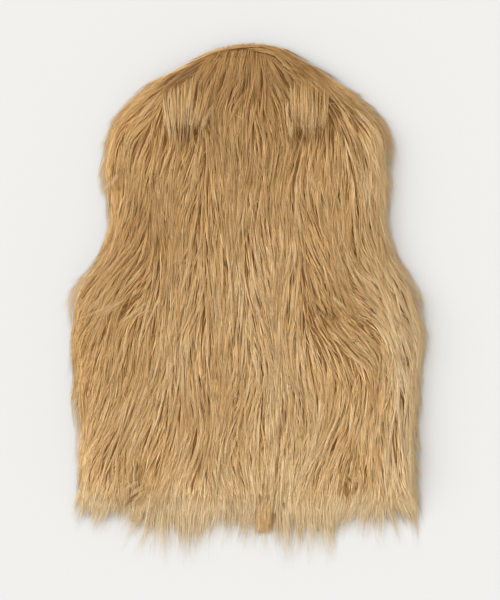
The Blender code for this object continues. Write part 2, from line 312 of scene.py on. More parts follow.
# Wisps that lie over the pile: where each starts, its heading from straight down, its turn and length
WISP_RAISE = 0.08
WISP_PALENESS = 0.06
Wisp = namedtuple("Wisp", "across up heading bend length level tone")
WISP_UNITS = (MM, MM, DEGREE, DEGREE, MM, 1, 1)
LAID_WISPS = table(Wisp, WISP_UNITS, (
    (-104, 560, -36, 8, 62, 1.02, 0.0),
    (-112, 554, -40, 10, 60, 1.02, 0.02),
    (-119, 547, -42, 10, 56, 1.02, 0.0),
    (-126, 541, -40, 12, 54, 1.02, 0.03),
    (108, 250, 18, 26, 48, 1.03, -0.1),
    (117, 252, 22, 28, 52, 1.03, -0.08),
    (124, 246, 24, 26, 48, 1.03, -0.1),
    (113, 240, 26, 24, 44, 1.03, -0.06),
    (-139, 287, -62, -6, 102, 1.15, 0.18),
    (-186, 286, -44, -8, 62, 1.12, 0.16),
    (-156, 273, -60, -6, 70, 1.14, 0.12),
    (-120, 282, -46, -16, 86, 1.12, 0.16),
    (-119, 268, -58, -4, 50, 1.12, 0.14),
    (-134, 326, -36, -6, 70, 1.10, 0.12),
    (-168, 336, -34, -8, 64, 1.10, 0.12),
    (-216, 306, -48, 56, 84, 1.05, 0.14),
    (-222, 298, -28, 24, 58, 1.05, 0.16),
    (112, 326, 60, -26, 112, 1.14, 0.16),
    (150, 310, 52, 0, 48, 1.14, 0.18),
    (106, 290, 16, 62, 56, 1.16, 0.18),
    (126, 286, 46, 20, 42, 1.16, 0.16),
    (102, 242, 30, 4, 44, 1.14, 0.16),
    (124, 206, 50, -8, 54, 1.12, 0.16),
    (204, 296, 24, -16, 72, 1.06, 0.12),
    (190, 336, 40, -12, 50, 1.06, 0.14),
    (222, 284, 26, 4, 42, 1.02, 0.14),
    (-42, 544, -27, 0, 60, 1.22, 0.14),
    (-108, 550, 7, 3, 80, 1.28, 0.22),
    (174, 508, 36, 8, 52, 1.05, 0.14),
    (172, 522, 30, 10, 70, 1.05, 0.14),
    (184, 498, 24, 8, 62, 1.05, 0.14),
    (180, 492, 44, 0, 34, 1.05, 0.14),
    (-178, 438, -42, -10, 42, 1.05, 0.14),
    (-182, 430, -50, 0, 36, 1.05, 0.14),
    (-170, 448, -32, -6, 50, 1.05, 0.14),
    (-132, 26, -62, 10, 42, 1.2, 0.1),
    (-134, 22, -48, 12, 40, 1.2, 0.06),
    (-138, 24, -34, 8, 38, 1.15, 0.08),
    (-142, 30, -70, 24, 36, 1.15, 0.1),
    (-172, 32, 50, 0, 34, 1.12, 0.10),
    (126, 43, 46, 0, 36, 1.04, 0.0),
    (157, 46, -38, 0, 36, 1.04, 0.0),
    (118, 34, 58, 12, 34, 1.04, 0.0),
))
WISPS = [wisp._replace(level=wisp.level + WISP_RAISE, tone=wisp.tone + WISP_PALENESS) for wisp in LAID_WISPS]

# Dark strands as painted shade in the hollows and beside the blunt tuft
SHADE_SLITS = table(Wisp, WISP_UNITS, (
    (12, 18, 6, 0, 30, 1.34, -0.5),
    (22, 16, 0, 0, 26, 1.34, -0.5),
    (8, -4, 0, 0, 42, 1.2, -0.46),
    (34, -12, -13, 0, 34, 1.38, -0.5),
    (31, -13, -13, 0, 32, 1.38, -0.5),
    (17, 34, 4, 0, 34, 1.34, -0.45),
    (-142, 18, -50, 0, 30, 1.2, -0.48),
    (-149, 11, -60, 10, 26, 1.2, -0.48),
    (-154, 6, -50, 10, 24, 1.2, -0.46),
    (126, 24, 10, 0, 22, 1.2, -0.5),
    (131, 20, -10, 0, 22, 1.2, -0.5),
    (137, 22, -30, 0, 20, 1.2, -0.48),
    (201, 18, 20, 0, 20, 1.16, -0.42),
    (-94, 504, -10, 0, 24, 1.24, -0.5),
    (-88, 502, 12, 0, 22, 1.24, -0.5),
    (-62, 510, 20, 0, 24, 1.24, -0.46),
    (66, 504, 5, 0, 24, 1.24, -0.5),
    (84, 506, 50, 0, 24, 1.24, -0.46),
    (134, 528, 10, 0, 20, 1.24, -0.52),
    (45, 8, 4, 0, 30, 1.2, -0.42),
    (-46, 515, -72, 10, 40, 1.1, -0.4),
    (-50, 506, -66, 20, 36, 1.1, -0.42),
    (-58, 500, -58, 24, 30, 1.1, -0.4),
    (-122, 516, 30, -30, 40, 1.1, -0.36),
    (-112, 506, 20, -20, 34, 1.1, -0.36),
    (-84, 496, -20, 30, 28, 1.1, -0.4),
    (60, 504, 24, 20, 32, 1.1, -0.4),
    (70, 497, -24, 10, 24, 1.1, -0.38),
    (108, 508, -46, 10, 40, 1.1, -0.4),
    (100, 497, -60, 20, 30, 1.1, -0.4),
    (128, 530, 26, -14, 44, 1.1, -0.38),
    (86, 262, 24, 36, 44, 1.1, -0.38),
    (98, 252, 14, 50, 44, 1.1, -0.4),
    (92, 238, 40, 20, 38, 1.1, -0.38),
    (118, 248, 60, -20, 40, 1.1, -0.36),
    (80, 226, 20, 30, 36, 1.1, -0.36),
    (140, 232, 10, 36, 32, 1.1, -0.36),
    (-138, 286, -50, -10, 46, 1.1, -0.36),
    (-150, 276, -58, -8, 40, 1.1, -0.38),
    (-160, 266, -48, 0, 34, 1.1, -0.36),
    (-132, 24, -44, 10, 36, 1.1, -0.42),
    (-138, 18, -56, 20, 30, 1.1, -0.42),
    (-146, 16, -30, 20, 30, 1.1, -0.4),
    (120, 34, 30, 10, 28, 1.1, -0.42),
    (130, 30, -34, 10, 26, 1.1, -0.4),
    (140, 34, -60, 30, 30, 1.1, -0.4),
))

# Loose hairs all over the back
STRAY_WISPS = 310
STRAY_TURN = 24 * DEGREE
STRAY_LENGTHS = (36 * MM, 72 * MM)
STRAY_LEVEL = 1.09
STRAY_BREADTH = 0.44
STRAY_SALT = 92

# Tufts that stand out of the pile: from left to right, with the headings of their outer locks
Tuft = namedtuple("Tuft", "left right up length left_heading right_heading locks level tone")
TUFT_UNITS = (MM, MM, MM, MM, DEGREE, DEGREE, 1, 1, 1)
TUFTS = table(Tuft, TUFT_UNITS, (
    (-114, -50, 572, 82, 6, -14, 17, 1.42, 0.03),
    (48, 104, 570, 80, 3, -3, 15, 1.4, 0.02),
))
TUFT_UNEVEN = 0.09
TUFT_START_UNEVEN = 20 * MM
TUFT_DEPTH = 9 * MM  # how far below the outline a tuft's locks start at least
TUFT_SALT = 90
BLUNT_TUFTS = table(Tuft, TUFT_UNITS, ((11, 30, 30, 75, 0, -3, 7, 1.16, 0.02),))
BLUNT_UNEVEN = 0.012

# The cap of hair that runs from the nape along the neck's edge to either shoulder
CREST_FROM = 480 * MM
CREST_FREEDOM = 0.8 * MM
CREST_STEP = 8 * MM  # over how far its heading is read
Crest = namedtuple("Crest", "starts step locks depths lengths lean salts")
NAPE_CAP = Crest(
    starts=(38 * MM, -8 * MM),  # how far out the first lock starts, to the left and to the right
    step=9 * MM,
    locks=11,
    depths=(3 * MM, 20 * MM),
    lengths=(44 * MM, 70 * MM),
    lean=0.92,  # how closely they keep to the outline's own heading
    salts=(130, 140),
)
CAP_LEVEL = 1.04

# Hairs that run right along the nape's edge
NAPE_RIM = Crest(
    starts=(-34 * MM, -34 * MM), step=6 * MM, locks=15, depths=(1.5 * MM, 6 * MM),
    lengths=(40 * MM, 58 * MM), lean=1.0, salts=(210, 220),
)

# Locks that fall from the nape's edge: to the left of the parting straight down, to its right in a fan
NapeFall = namedtuple("NapeFall", "locks left right first_heading last_heading least_depth most_depth salt")
NAPE_FALLS = table(NapeFall, (1, MM, MM, DEGREE, DEGREE, MM, MM, 1), (
    (20, -50, 20, -42, 6, 0.2, 2.4, 180),
    (9, 6, 26, 14, 74, 3, 10, 250),
    (10, 10, 54, 8, 56, 12, 24, 260),
))
NAPE_LENGTH = 70 * MM
NAPE_STRAY = 8 * DEGREE
NAPE_BEND = -0.55  # how far they turn back to straight down, as a share of their heading

# Thin hairs that stand out from the sides
EDGE_WISPS = 330
EDGE_WISP_TOP = 560 * MM
EDGE_WISP_DEPTHS = (1 * MM, 11 * MM)
EDGE_WISP_LENGTHS = (24 * MM, 62 * MM)
EDGE_WISP_SPLAY = (10 * DEGREE, 40 * DEGREE)
EDGE_WISP_LEVEL = 0.96
# painted light: how much paler the thin side hairs are, glowing pale over the shadow beside the vest
EDGE_WISP_PAINTED_LIGHT = 0.3
EDGE_WISP_SALTS = (160, 170)  # for the left and the right

# Broad swells and hollows of the pile
Swell = namedtuple("Swell", "across up half_width half_length rise")
SWELLS = table(Swell, (MM,) * 5, (
    (-77, 529, 36, 24, 5),
    (-80, 492, 44, 16, -9),
    (74, 525, 34, 24, 5),
    (80, 488, 40, 15, -9),
    (-205, 290, 34, 36, 3),
    (104, 246, 48, 30, -7),
    (188, 232, 42, 54, 3),
    (-150, 10, 24, 20, -6),
    (130, 18, 24, 18, -6),
    (-158, 268, 26, 18, -5),
))

# How far the hem's pile hangs below the cut edge, across from left to right
HemReach = namedtuple("HemReach", "across hang")
HEM_REACH = table(HemReach, (MM, MM), (
    (-233, 20), (-208, 40), (-185, 52), (-176, 28), (-163, 48), (-118, 76), (-95, 80), (-64, 83), (-28, 52),
    (0, 68), (17, 65), (39, 78), (71, 78), (93, 80), (129, 62), (152, 53), (199, 62), (215, 28), (231, 10),
))

# Lighter and darker patches of painted light and shade: shadows under the tufts and in the hollows, a darker
# nape and left edge, a paler right edge and hem, and broader lighter and darker areas; and how much each
# shifts the tone
Patch = namedtuple("Patch", "across up half_width half_length shift")
LIGHT_AND_SHADE_PATCHES = table(Patch, (MM, MM, MM, MM, 1), (
    (0, 570, 130, 52, -0.26),
    (-90, 465, 70, 30, -0.10),
    (0, 0, 170, 50, 0.06),
    (20, 180, 60, 100, 0.08),
    (-150, 8, 22, 16, -0.16),
    (136, 22, 22, 18, -0.12),
    (104, 242, 36, 24, -0.3),
    (-165, 275, 44, 30, -0.10),
    (133, 518, 14, 12, -0.2),
    (-84, 497, 42, 13, -0.42),
    (83, 491, 34, 12, -0.4),
    (-205, 190, 60, 220, -0.16),
    (-140, 345, 50, 40, -0.12),
    (15, 440, 60, 60, -0.1),
    (220, 190, 32, 270, 0.27),
    (180, 420, 30, 90, 0.3),
    (0, -50, 260, 30, 0.14),
    (190, -40, 70, 34, 0.16),
    (-218, -30, 36, 28, 0.14),
    (-238, 150, 15, 170, -0.14),
    (132, 20, 30, 18, -0.2),
    (-142, 12, 34, 18, -0.18),
    (25, 450, 40, 70, -0.06),
    (-40, 80, 70, 50, -0.1),
    (-72, 588, 30, 20, -0.2),
    (25, 300, 30, 190, 0.05),
    (-138, 330, 44, 60, -0.08),
    (224, 200, 20, 220, 0.05),
    (145, 150, 46, 90, -0.1),
    (115, 10, 60, 30, -0.1),
    (-24, 130, 26, 90, -0.1),
    (-20, 545, 56, 30, -0.08),
))

# Finishes: the hairs' colours from the darkest tone to the palest, then the roots, the underfur as painted
# shade in the gaps, the cloth with painted shade in its grooves, and the floor
TONES = (
    (0.0, (0.15, 0.072, 0.022)),
    (0.1, (0.36, 0.185, 0.05)),
    (0.5, (0.585, 0.358, 0.147)),
    (1.0, (0.81, 0.63, 0.375)),
)
ROOT_COLOUR = (0.36, 0.185, 0.057)
# painted shade: the underfur sheet is as dark as the shade deep between the locks, streaked lighter and
# darker
UNDERFUR_GAP_SHADE = (0.27, 0.14, 0.045)
UNDERFUR_GAP_SHADE_STREAK = (0.21, 0.105, 0.036)
UNDERFUR_STRETCH = (1.0, 0.12, 1.0)  # how the streaks are drawn out along the lie of the pile
UNDERFUR_ROUGHNESS = 0.9
ROOT_REACH = 2.2
TIP_COLOUR = (0.84, 0.69, 0.47)
TIP_REACH = 3.0
TIP_SHARE = 0.12
FUR_ROUGHNESS = 0.42
FUR_SPECULAR = 0.14
SHADING_LIFT = 0.4  # how far a hair is lit as if it faced straight up
FUR_SPECULAR_TINT = (1.0, 0.94, 0.84)
CLOTH_COLOUR = (0.55, 0.35, 0.16)
# the darker knit colour: painted shade in the rib grooves, and the blotches' uneven tone
CLOTH_SHADE = (0.40, 0.24, 0.10)
KNIT_PITCH = 1.6 * MM
WAVE_PITCH = 0.31416  # the pitch of a wave texture whose scale is 1
KNIT_DISTORTION = 0.6
KNIT_RELIEF = 0.4 * MM
KNIT_STRENGTH = 0.4
RIB_SHARE = 0.5
BLOTCH_SCALE = 22.0
BLOTCH_DETAIL = 4.0
BLOTCH_SHARE = 0.4
CLOTH_ROUGHNESS = 0.85
FLOOR_COLOUR = (0.495, 0.491, 0.482)
FLOOR_ROUGHNESS = 0.9
FLOOR_SPECULAR = 0.1
FLOOR_HALF = 6.0

# The photo's frame at the height of the vest
FRAME_HEIGHT = 810 * MM
FRAME_MIDDLE = 270 * MM  # up from the hem
CAMERA_HEIGHT = 2.6
SENSOR = 36.0

# The light
KEY_STRENGTH = 3.25
KEY_COLOUR = (1.0, 1.08, 1.17)
KEY_BREADTH = 42 * DEGREE
KEY_HEADING = (0.80, -0.2, -0.565)
SURROUND_STRENGTH = 1.2
SURROUND_COLOUR = (1.0, 0.955, 0.9, 1.0)


def unit_draws(count, salt):
    """Even draws between 0 and 1, the same at each run."""
    return np.random.default_rng(SEED + salt).random(count)


def ranged_draws(bounds, count, salt):
    """Even draws between two bounds, the same at each run."""
    return np.interp(unit_draws(count, salt), (0, 1), bounds)


def centred_draws(count, salt):
    """Draws round 0, most of them within 1, the same at each run."""
    return np.clip(np.random.default_rng(SEED + salt).normal(0, 1, count), -DRAW_LIMIT, DRAW_LIMIT)


def node_points(name):
    """The corner points of one solid of the frame, across, up and above the floor."""
    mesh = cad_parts[name].data
    points = np.empty(len(mesh.vertices) * 3)
    mesh.vertices.foreach_get("co", points)
    return points.reshape(-1, 3) - (CENTRE, HEM, 0.0)


def edge_curve(points, side):
    """The reach of a solid's flat underside to one side, evened out, at even heights from the hem up."""
    flat = points[points[:, 2] < points[:, 2].min() + FLAT_BAND]
    flat = flat[flat[:, 0] * side > 0]
    flat = flat[np.argsort(flat[:, 1])]
    reach = np.interp(HEIGHTS, flat[:, 1], np.abs(flat[:, 0]))
    window = np.ones(EVENED) / EVENED
    beside = EVENED // 2
    padded = np.concatenate([[reach[0]] * beside, reach, [reach[-1]] * beside])
    return np.convolve(padded, window, mode="valid")


# The outline, read from the back's solid at even heights
FLAT_BAND = 0.1 * MM
EVENED = 5  # how many heights in a row are evened out
HEIGHT_COUNT = 80
HEIGHTS = np.linspace(0, NAPE, HEIGHT_COUNT)
BACK_POINTS = node_points("back")
LEFT_REACH = edge_curve(BACK_POINTS, -1)
RIGHT_REACH = edge_curve(BACK_POINTS, 1) - np.interp(HEIGHTS, RIGHT_TRIM_CHANGE, (RIGHT_TRIM, 0))
REACHES = (LEFT_REACH, RIGHT_REACH)
SLOPES = tuple(-np.gradient(reach, HEIGHTS) for reach in REACHES)


def by_side(across, up, tables):
    """Reads the left table where a place lies left of the centre line, and the right one elsewhere."""
    left, right = (np.interp(up, HEIGHTS, values) for values in tables)
    return np.where(across < 0, left, right)


def side_share(across, up):
    """How far a place lies out from the centre line, from -1 at the left edge to 1 at the right."""
    return across / by_side(across, up, REACHES)


def near(mark, across, up):
    """How near a place is to a mark, 1 at the mark and fading out over its reach."""
    distance = np.hypot(across - mark.across, up - mark.up)
    return np.exp(-((distance / mark.reach) ** 2))


def spread_from(spot, across, up):
    """How far a place lies from a spot, as a share of the spot's half sizes."""
    return np.hypot((across - spot.across) / spot.half_width, (up - spot.up) / spot.half_length)


def soft_noise(across, up, size, salt):
    """A smooth uneven field round 0 whose swells are about this size."""
    draw = np.random.default_rng(SEED + salt)
    total = np.zeros_like(across)
    for _ in range(NOISE_WAVES):
        heading = draw.uniform(0, math.tau)
        pitch = size * draw.uniform(*NOISE_PITCHES)
        start = draw.uniform(0, math.tau)
        along = across * math.cos(heading) + up * math.sin(heading) * NOISE_STRETCH
        total = total + np.sin(along * math.tau / pitch + start)
    return total / math.sqrt(NOISE_WAVES / 2)


def pile_lean(across, up):
    """The angle from straight down at which the pile lies, positive to the right."""
    share = side_share(across, up)
    slope = by_side(across, up, SLOPES)
    fan = np.interp(up, FAN_CHANGE, (SIDE_FAN, SHOULDER_FAN))
    lean = np.arctan(np.clip(share, -SHARE_LIMIT, SHARE_LIMIT) * slope) * fan
    lean = lean + EDGE_LEAN * np.sign(share) * np.clip(np.abs(share), 0, 1) ** EDGE_LEAN_POWER
    for mark in COMB_MARKS:
        lean = lean + mark.turn * near(mark, across, up)
    lean = lean + LEAN_UNEVEN * soft_noise(across, up, LEAN_NOISE_SIZE, LEAN_SALT)
    along_edge = np.tanh(across / PARTING) * (np.arctan(slope) + EDGE_FLICK)
    pull = np.exp(-np.maximum(edge_distance(across, up), 0) / EDGE_PULL)
    return lean + (along_edge - lean) * pull


def pile_bend(across, up):
    """How far hairs rooted here turn between root and tip."""
    return sum(mark.bend * near(mark, across, up) for mark in COMB_MARKS)


def hem_hang(across):
    """How far below the cut edge the pile hangs."""
    return np.interp(across, [r.across for r in HEM_REACH], [r.hang for r in HEM_REACH])


def swell_at(across, up):
    """The rise of the broad swells and hollows."""
    total = np.zeros_like(across)
    for swell in SWELLS:
        off = np.minimum(spread_from(swell, across, up), 1)
        total = total + swell.rise * (0.5 + 0.5 * np.cos(np.pi * off))
    return total


def dome_top(across):
    """How far up the fur reaches over the nape."""
    out = np.abs(across - DOME_MIDDLE)
    straight = DOME_HALF_WIDTH * (2 * out - DOME_HALF_WIDTH)
    return NAPE + DOME_RISE - np.where(out < DOME_HALF_WIDTH, out**2, straight) / DOME_BREADTH


def edge_distance(across, up):
    """How far inside the fur's outline a place lies, below 0 outside it."""
    reach = by_side(across, up, REACHES)
    slope = by_side(across, up, SLOPES)
    return np.minimum((reach - np.abs(across)) / np.hypot(1, slope), dome_top(across) - up)


def pile_top(across, up):
    """The height of the pile's surface above the floor."""
    inside = edge_distance(across, up)
    roll = 1 - (1 - np.clip(inside / EDGE_ROLL, 0, 1)) ** ROLL_POWER
    share = np.clip(side_share(across, up), -1, 1)
    body = PILE_DEPTH - PILE_RIM + CROWN * (1 - share * share) + swell_at(across, up)
    fallen = 0.5 + 0.5 * np.cos(np.pi * np.clip((up - HEM_FALL[0]) / (HEM_FALL[1] - HEM_FALL[0]), 0, 1))
    body = body * (1 - (1 - HEM_TIP_SHARE) * fallen)
    past_edge = OUTSIDE_DROP * np.clip((EDGE_DROOP - inside) / OUTSIDE_REACH, 0, 1)
    past_hem = HEM_DROP * np.clip((HEM_DROPS[0] - up) / (HEM_DROPS[0] - HEM_DROPS[1]), 0, 1)
    return BACK_FLOOR + PILE_RIM + roll * body - np.maximum(past_edge, past_hem)


def pile_part(across, up, share):
    """The height above the floor at which a share of the pile's depth is reached."""
    return BACK_FLOOR + (pile_top(across, up) - BACK_FLOOR) * share


def under_top(across, up):
    """The height of the undercoat's surface above the floor."""
    return pile_part(across, up, UNDER_SHARE)


def hem_top(across, up):
    """The height of the hem's own hairs: under the pile that hangs over them, then as high as its tips."""
    return pile_part(across, up, np.interp(up, HEM_UNDER, (1, HEM_UNDER_SHARE)))


def scattered_roots(spacing, left, right, low, high, salt):
    """Places over a rectangle, about this far apart, none in line."""
    rows = int((high - low) / (spacing * ROW_PITCH))
    columns = int((right - left) / spacing)
    row, column = np.meshgrid(np.arange(rows), np.arange(columns), indexing="ij")
    across = left + (column + 0.5 * (row % 2) + 0.5) * spacing
    up = low + (row + 0.5) * spacing * ROW_PITCH
    count = across.size
    across = across.ravel() + (unit_draws(count, salt) - 0.5) * spacing * ROOT_SHIFT
    up = up.ravel() + (unit_draws(count, salt + 1) - 0.5) * spacing * ROOT_SHIFT
    return across, up


def traced_paths(across, up, length, lean_at):
    """Paths in plan from these places, along the lean that each place and share of the path give."""
    paths = np.empty((len(across), PATH_STEPS, 2))
    stride = length / (PATH_STEPS - 1)
    for step in range(PATH_STEPS):
        paths[:, step, 0] = across
        paths[:, step, 1] = up
        lean = lean_at(across, up, step / (PATH_STEPS - 1))
        across = across + stride * np.sin(lean)
        up = up - stride * np.cos(lean)
    return paths


def tone_with_painted_light(across, up):
    """The tone of the pile at a place, round 0, with painted shade towards the nape, painted light towards
    the hem, and the painted light and shade of the patches.
    """
    # painted shade towards the nape and painted light towards the hem
    tone = PAINTED_SHADE_FALL * (0.5 - np.clip(up / NAPE, 0, 1))
    for patch in LIGHT_AND_SHADE_PATCHES:
        tone = tone + patch.shift * np.exp(-(spread_from(patch, across, up) ** 2))
    return tone


def nearest(across, up, other_across, other_up):
    """For each place, which of the others lies nearest."""
    return np.hypot(across[:, None] - other_across, up[:, None] - other_up).argmin(axis=1)


def read_paths(paths, which, along):
    """Points on the given paths at a share of their length."""
    place = np.clip(along, 0, 1) * (PATH_STEPS - 1)
    low = np.minimum(place.astype(int), PATH_STEPS - 2)
    part = (place - low)[:, None]
    return paths[which, low] * (1 - part) + paths[which, low + 1] * part


def hold_outline(across, up, freedom, margin):
    """Lets hairs run past a line inside the outline only by their freedom, so that they turn along it."""
    reach = by_side(across, up, REACHES) - margin
    over = np.maximum(np.abs(across) - reach, 0)
    across = np.sign(across) * (np.abs(across) - over + freedom * (1 - np.exp(-over / freedom)))
    above = np.maximum(up - dome_top(across), 0)
    return across, up - above + CREST_FREEDOM * (1 - np.exp(-above / CREST_FREEDOM))


def break_reach(paths, salt):
    """How far along its path each lock runs before a break in the pile ends it."""
    count = len(paths)
    reach = np.ones(count)
    steps = np.arange(PATH_STEPS) / (PATH_STEPS - 1)
    ends_there = unit_draws(count, salt) < BREAK_SHARE
    for gap in BREAKS:
        inside = spread_from(gap, paths[:, :, 0], paths[:, :, 1]) < 1
        first = np.where(inside.any(axis=1), steps[inside.argmax(axis=1)], 1.0)
        first = np.where(inside[:, 0] | ~ends_there, 1.0, first)
        reach = np.minimum(reach, np.maximum(first, BROKEN_LEAST))
    return reach


def pile_locks(roots, length, style, salt):
    """Locks rooted at these places and combed along the lie of the pile."""
    across, up = roots
    count = len(across)
    margin = BIG_LOCK_SPACING
    sides = (across.min() - margin, across.max() + margin, up.min() - margin, up.max() + margin)
    big_across, big_up = scattered_roots(BIG_LOCK_SPACING, *sides, salt)
    owner = nearest(across, up, big_across, big_up)
    big_count = len(big_across)
    stray = style.stray * centred_draws(count, salt + 2)
    stray = stray + BIG_LOCK_STRAY * centred_draws(big_count, salt + 3)[owner]
    turn = pile_bend(across, up) + style.curl * centred_draws(count, salt + 4)
    paths = traced_paths(across, up, length, lambda a, u, share: pile_lean(a, u) + stray + turn * share)
    pull = np.stack([big_across[owner] - across, big_up[owner] - up], axis=1) * style.big_gather
    level = 1 + style.level * centred_draws(count, salt + 5)
    seen = paths[:, SEEN_STEP]
    tone = tone_with_painted_light(seen[:, 0], seen[:, 1]) + LOCK_TONE * centred_draws(count, salt + 6)
    tone = tone + BIG_LOCK_TONE * centred_draws(big_count, salt + 7)[owner]
    return Locks(paths, pull, break_reach(paths, salt + 8), level, tone)


def laid_locks(wisps):
    """Locks that lie over the pile, each with its own heading and turn."""
    across, up, heading, bend, length, level, tone = (np.array(column) for column in zip(*wisps))
    paths = traced_paths(across, up, length, lambda a, u, share: heading + bend * share)
    return Locks(paths, np.zeros((len(wisps), 2)), np.ones(len(wisps)), level, tone)


def wisps_from(*columns):
    """Wisps from the columns of their values, where one number stands for all of them."""
    return [Wisp(*row) for row in zip(*np.broadcast_arrays(*columns))]


def tuft_wisps(tufts, uneven, start_uneven):
    """The locks of these tufts, side by side."""
    wisps = []
    for tuft in tufts:
        share = np.linspace(0, 1, tuft.locks)
        across = tuft.left + (tuft.right - tuft.left) * share
        heading = tuft.left_heading + (tuft.right_heading - tuft.left_heading) * share
        shift = start_uneven * centred_draws(tuft.locks, TUFT_SALT)
        change = uneven * centred_draws(tuft.locks, TUFT_SALT + 1)
        length = tuft.length * (1 + change) + shift
        up = np.minimum(tuft.up + shift, crest(across) - TUFT_DEPTH)
        wisps += wisps_from(across, up, heading, 0.0, length, tuft.level, tuft.tone + change)
    return wisps


def crest(across):
    """How far up the outline lies at a place across, from one shoulder over the nape to the other."""
    upper = HEIGHTS > CREST_FROM
    left = np.interp(-across, LEFT_REACH[upper][::-1], HEIGHTS[upper][::-1])
    right = np.interp(across, RIGHT_REACH[upper][::-1], HEIGHTS[upper][::-1])
    edge = np.where(across < 0, left, right)
    return np.minimum(np.where(edge < NAPE, edge, NAPE + DOME_RISE), dome_top(across))


def crest_heading(across, side):
    """The heading from straight down of the outline as it runs to one side."""
    fall = (crest(across) - crest(across + side * CREST_STEP)) / CREST_STEP
    return side * np.arctan2(1.0, fall)


def crest_wisps(band):
    """Locks that run from the nape along the neck's edge to either side, one after the other."""
    wisps = []
    for side, start, salt in zip((-1, 1), band.starts, band.salts):
        count = band.locks
        across = side * (start + band.step * (np.arange(count) + unit_draws(count, salt) - 0.5))
        up = crest(across) - ranged_draws(band.depths, count, salt + 1)
        length = ranged_draws(band.lengths, count, salt + 2)
        heading = band.lean * crest_heading(across, side)
        bend = band.lean * crest_heading(across + side * length, side) - heading
        tone = tone_with_painted_light(across, up) + LOCK_TONE * centred_draws(count, salt + 3)
        wisps += wisps_from(across, up, heading, bend, length, CAP_LEVEL, tone)
    return wisps


def nape_wisps():
    """Locks that fall from the nape's edge and part to either side."""
    wisps = []
    for fall in NAPE_FALLS:
        share = (np.arange(fall.locks) + unit_draws(fall.locks, fall.salt)) / fall.locks
        across = np.interp(share, (0, 1), (fall.left, fall.right))
        up = crest(across) - ranged_draws((fall.least_depth, fall.most_depth), fall.locks, fall.salt + 1)
        heading = np.interp(share, (0, 1), (fall.first_heading, fall.last_heading))
        heading = heading + NAPE_STRAY * centred_draws(fall.locks, fall.salt + 2)
        length = NAPE_LENGTH * (1 + LOCK_UNEVEN * centred_draws(fall.locks, fall.salt + 3))
        tone = tone_with_painted_light(across, up) + LOCK_TONE * centred_draws(fall.locks, fall.salt + 4)
        wisps += wisps_from(across, up, heading, NAPE_BEND * heading, length, CAP_LEVEL, tone)
    return wisps


def edge_wisps():
    """Thin hairs that stand out from both sides of the back."""
    wisps = []
    count = EDGE_WISPS
    for side, reaches, slopes, salt in zip((-1, 1), REACHES, SLOPES, EDGE_WISP_SALTS):
        up = EDGE_WISP_TOP * unit_draws(count, salt)
        slope = np.interp(up, HEIGHTS, slopes)
        depth = ranged_draws(EDGE_WISP_DEPTHS, count, salt + 1)
        across = side * (np.interp(up, HEIGHTS, reaches) - depth * np.hypot(1, slope))
        splay = ranged_draws(EDGE_WISP_SPLAY, count, salt + 2)
        heading = side * (np.arctan(slope) + splay)
        bend = -side * splay * unit_draws(count, salt + 3)
        length = ranged_draws(EDGE_WISP_LENGTHS, count, salt + 4)
        # the side hairs painted paler, as painted light
        tone = tone_with_painted_light(across, up) + EDGE_WISP_PAINTED_LIGHT + LOCK_TONE * centred_draws(count, salt + 5)
        wisps += wisps_from(across, up, heading, bend, length, EDGE_WISP_LEVEL, tone)
    return wisps


def stray_wisps():
    """Loose hairs all over the back that cross the lie of the pile."""
    across = (unit_draws(STRAY_WISPS, STRAY_SALT) - 0.5) * STRAY_BREADTH
    up = unit_draws(STRAY_WISPS, STRAY_SALT + 1) * NAPE
    inside = edge_distance(across, up) > LOCK_SPACING
    across, up = across[inside], up[inside]
    count = len(across)
    heading = pile_lean(across, up) + STRAY_TURN * centred_draws(count, STRAY_SALT + 2)
    bend = STRAY_TURN * centred_draws(count, STRAY_SALT + 3)
    length = ranged_draws(STRAY_LENGTHS, count, STRAY_SALT + 4)
    tone = LOCK_TONE * (1 + centred_draws(count, STRAY_SALT + 5))
    return wisps_from(across, up, heading, bend, length, STRAY_LEVEL, tone)


def hairs_of(locks, style, salt, root_height, top):
    """The hairs of these locks: their points from root to tip, and their tones."""
    lock = np.repeat(np.arange(len(locks.paths)), style.hairs)
    count = len(lock)
    turn = unit_draws(count, salt) * math.tau
    out = style.radius * np.sqrt(unit_draws(count, salt + 1))
    aside, ahead = out * np.cos(turn), out * np.sin(turn)
    lift = style.radius * LOCK_LIFT * (2 * unit_draws(count, salt + 2) - 1)
    reach = style.shortest + (1 - style.shortest) * unit_draws(count, salt + 3) ** style.fade
    reach = reach * locks.reach[lock]
    sway = style.sway * centred_draws(count, salt + 4)
    phase = math.tau * unit_draws(count, salt + 8)
    held = np.where(unit_draws(count, salt + 5) < style.loose, 0.0, 1.0)
    freedom = style.freedom * (1 + FREEDOM_SPREAD * unit_draws(count, salt + 6) ** FREEDOM_POWER)
    margin = style.margin * unit_draws(count, salt + 9)
    start = read_paths(locks.paths, lock, np.zeros(count))
    root_height = np.minimum(root_height, top(start[:, 0], start[:, 1]) - ROOT_SINK)
    points = np.empty((count, len(style.stations), 3))
    for ring, along in enumerate(style.stations):
        pull = locks.pull[lock] * (held * along**PULL_POWER)[:, None]
        spot = read_paths(locks.paths, lock, along * reach) + pull
        loose = 1 - held * style.gather * along
        wave = style.wave * along * np.sin(phase + math.tau * WAVES * along)
        swing = sway * math.sin(math.pi * along) + wave
        across = spot[:, 0] + aside * loose + swing
        up = spot[:, 1] + ahead * loose
        across, up = hold_outline(across, up, freedom, margin)
        rise = 1 - (1 - along) ** RISE_POWER
        stand = PILE_DEPTH * (locks.level[lock] - 1) * along
        height = root_height + (top(across, up) - root_height) * rise + stand
        height = np.maximum(height + lift * loose * rise, FLOOR_CLEARANCE)
        points[:, ring] = np.stack([across, up, height], axis=1)
    tone = 0.5 + locks.tone[lock] + style.tone * centred_draws(count, salt + 7)
    # painted shade: each lock darker on its right, the side away from the light
    tone = tone - PAINTED_SIDE_SHADE * aside / (style.radius + LEAST_RADIUS)
    return points, np.clip(tone, *TONE_LIMITS)


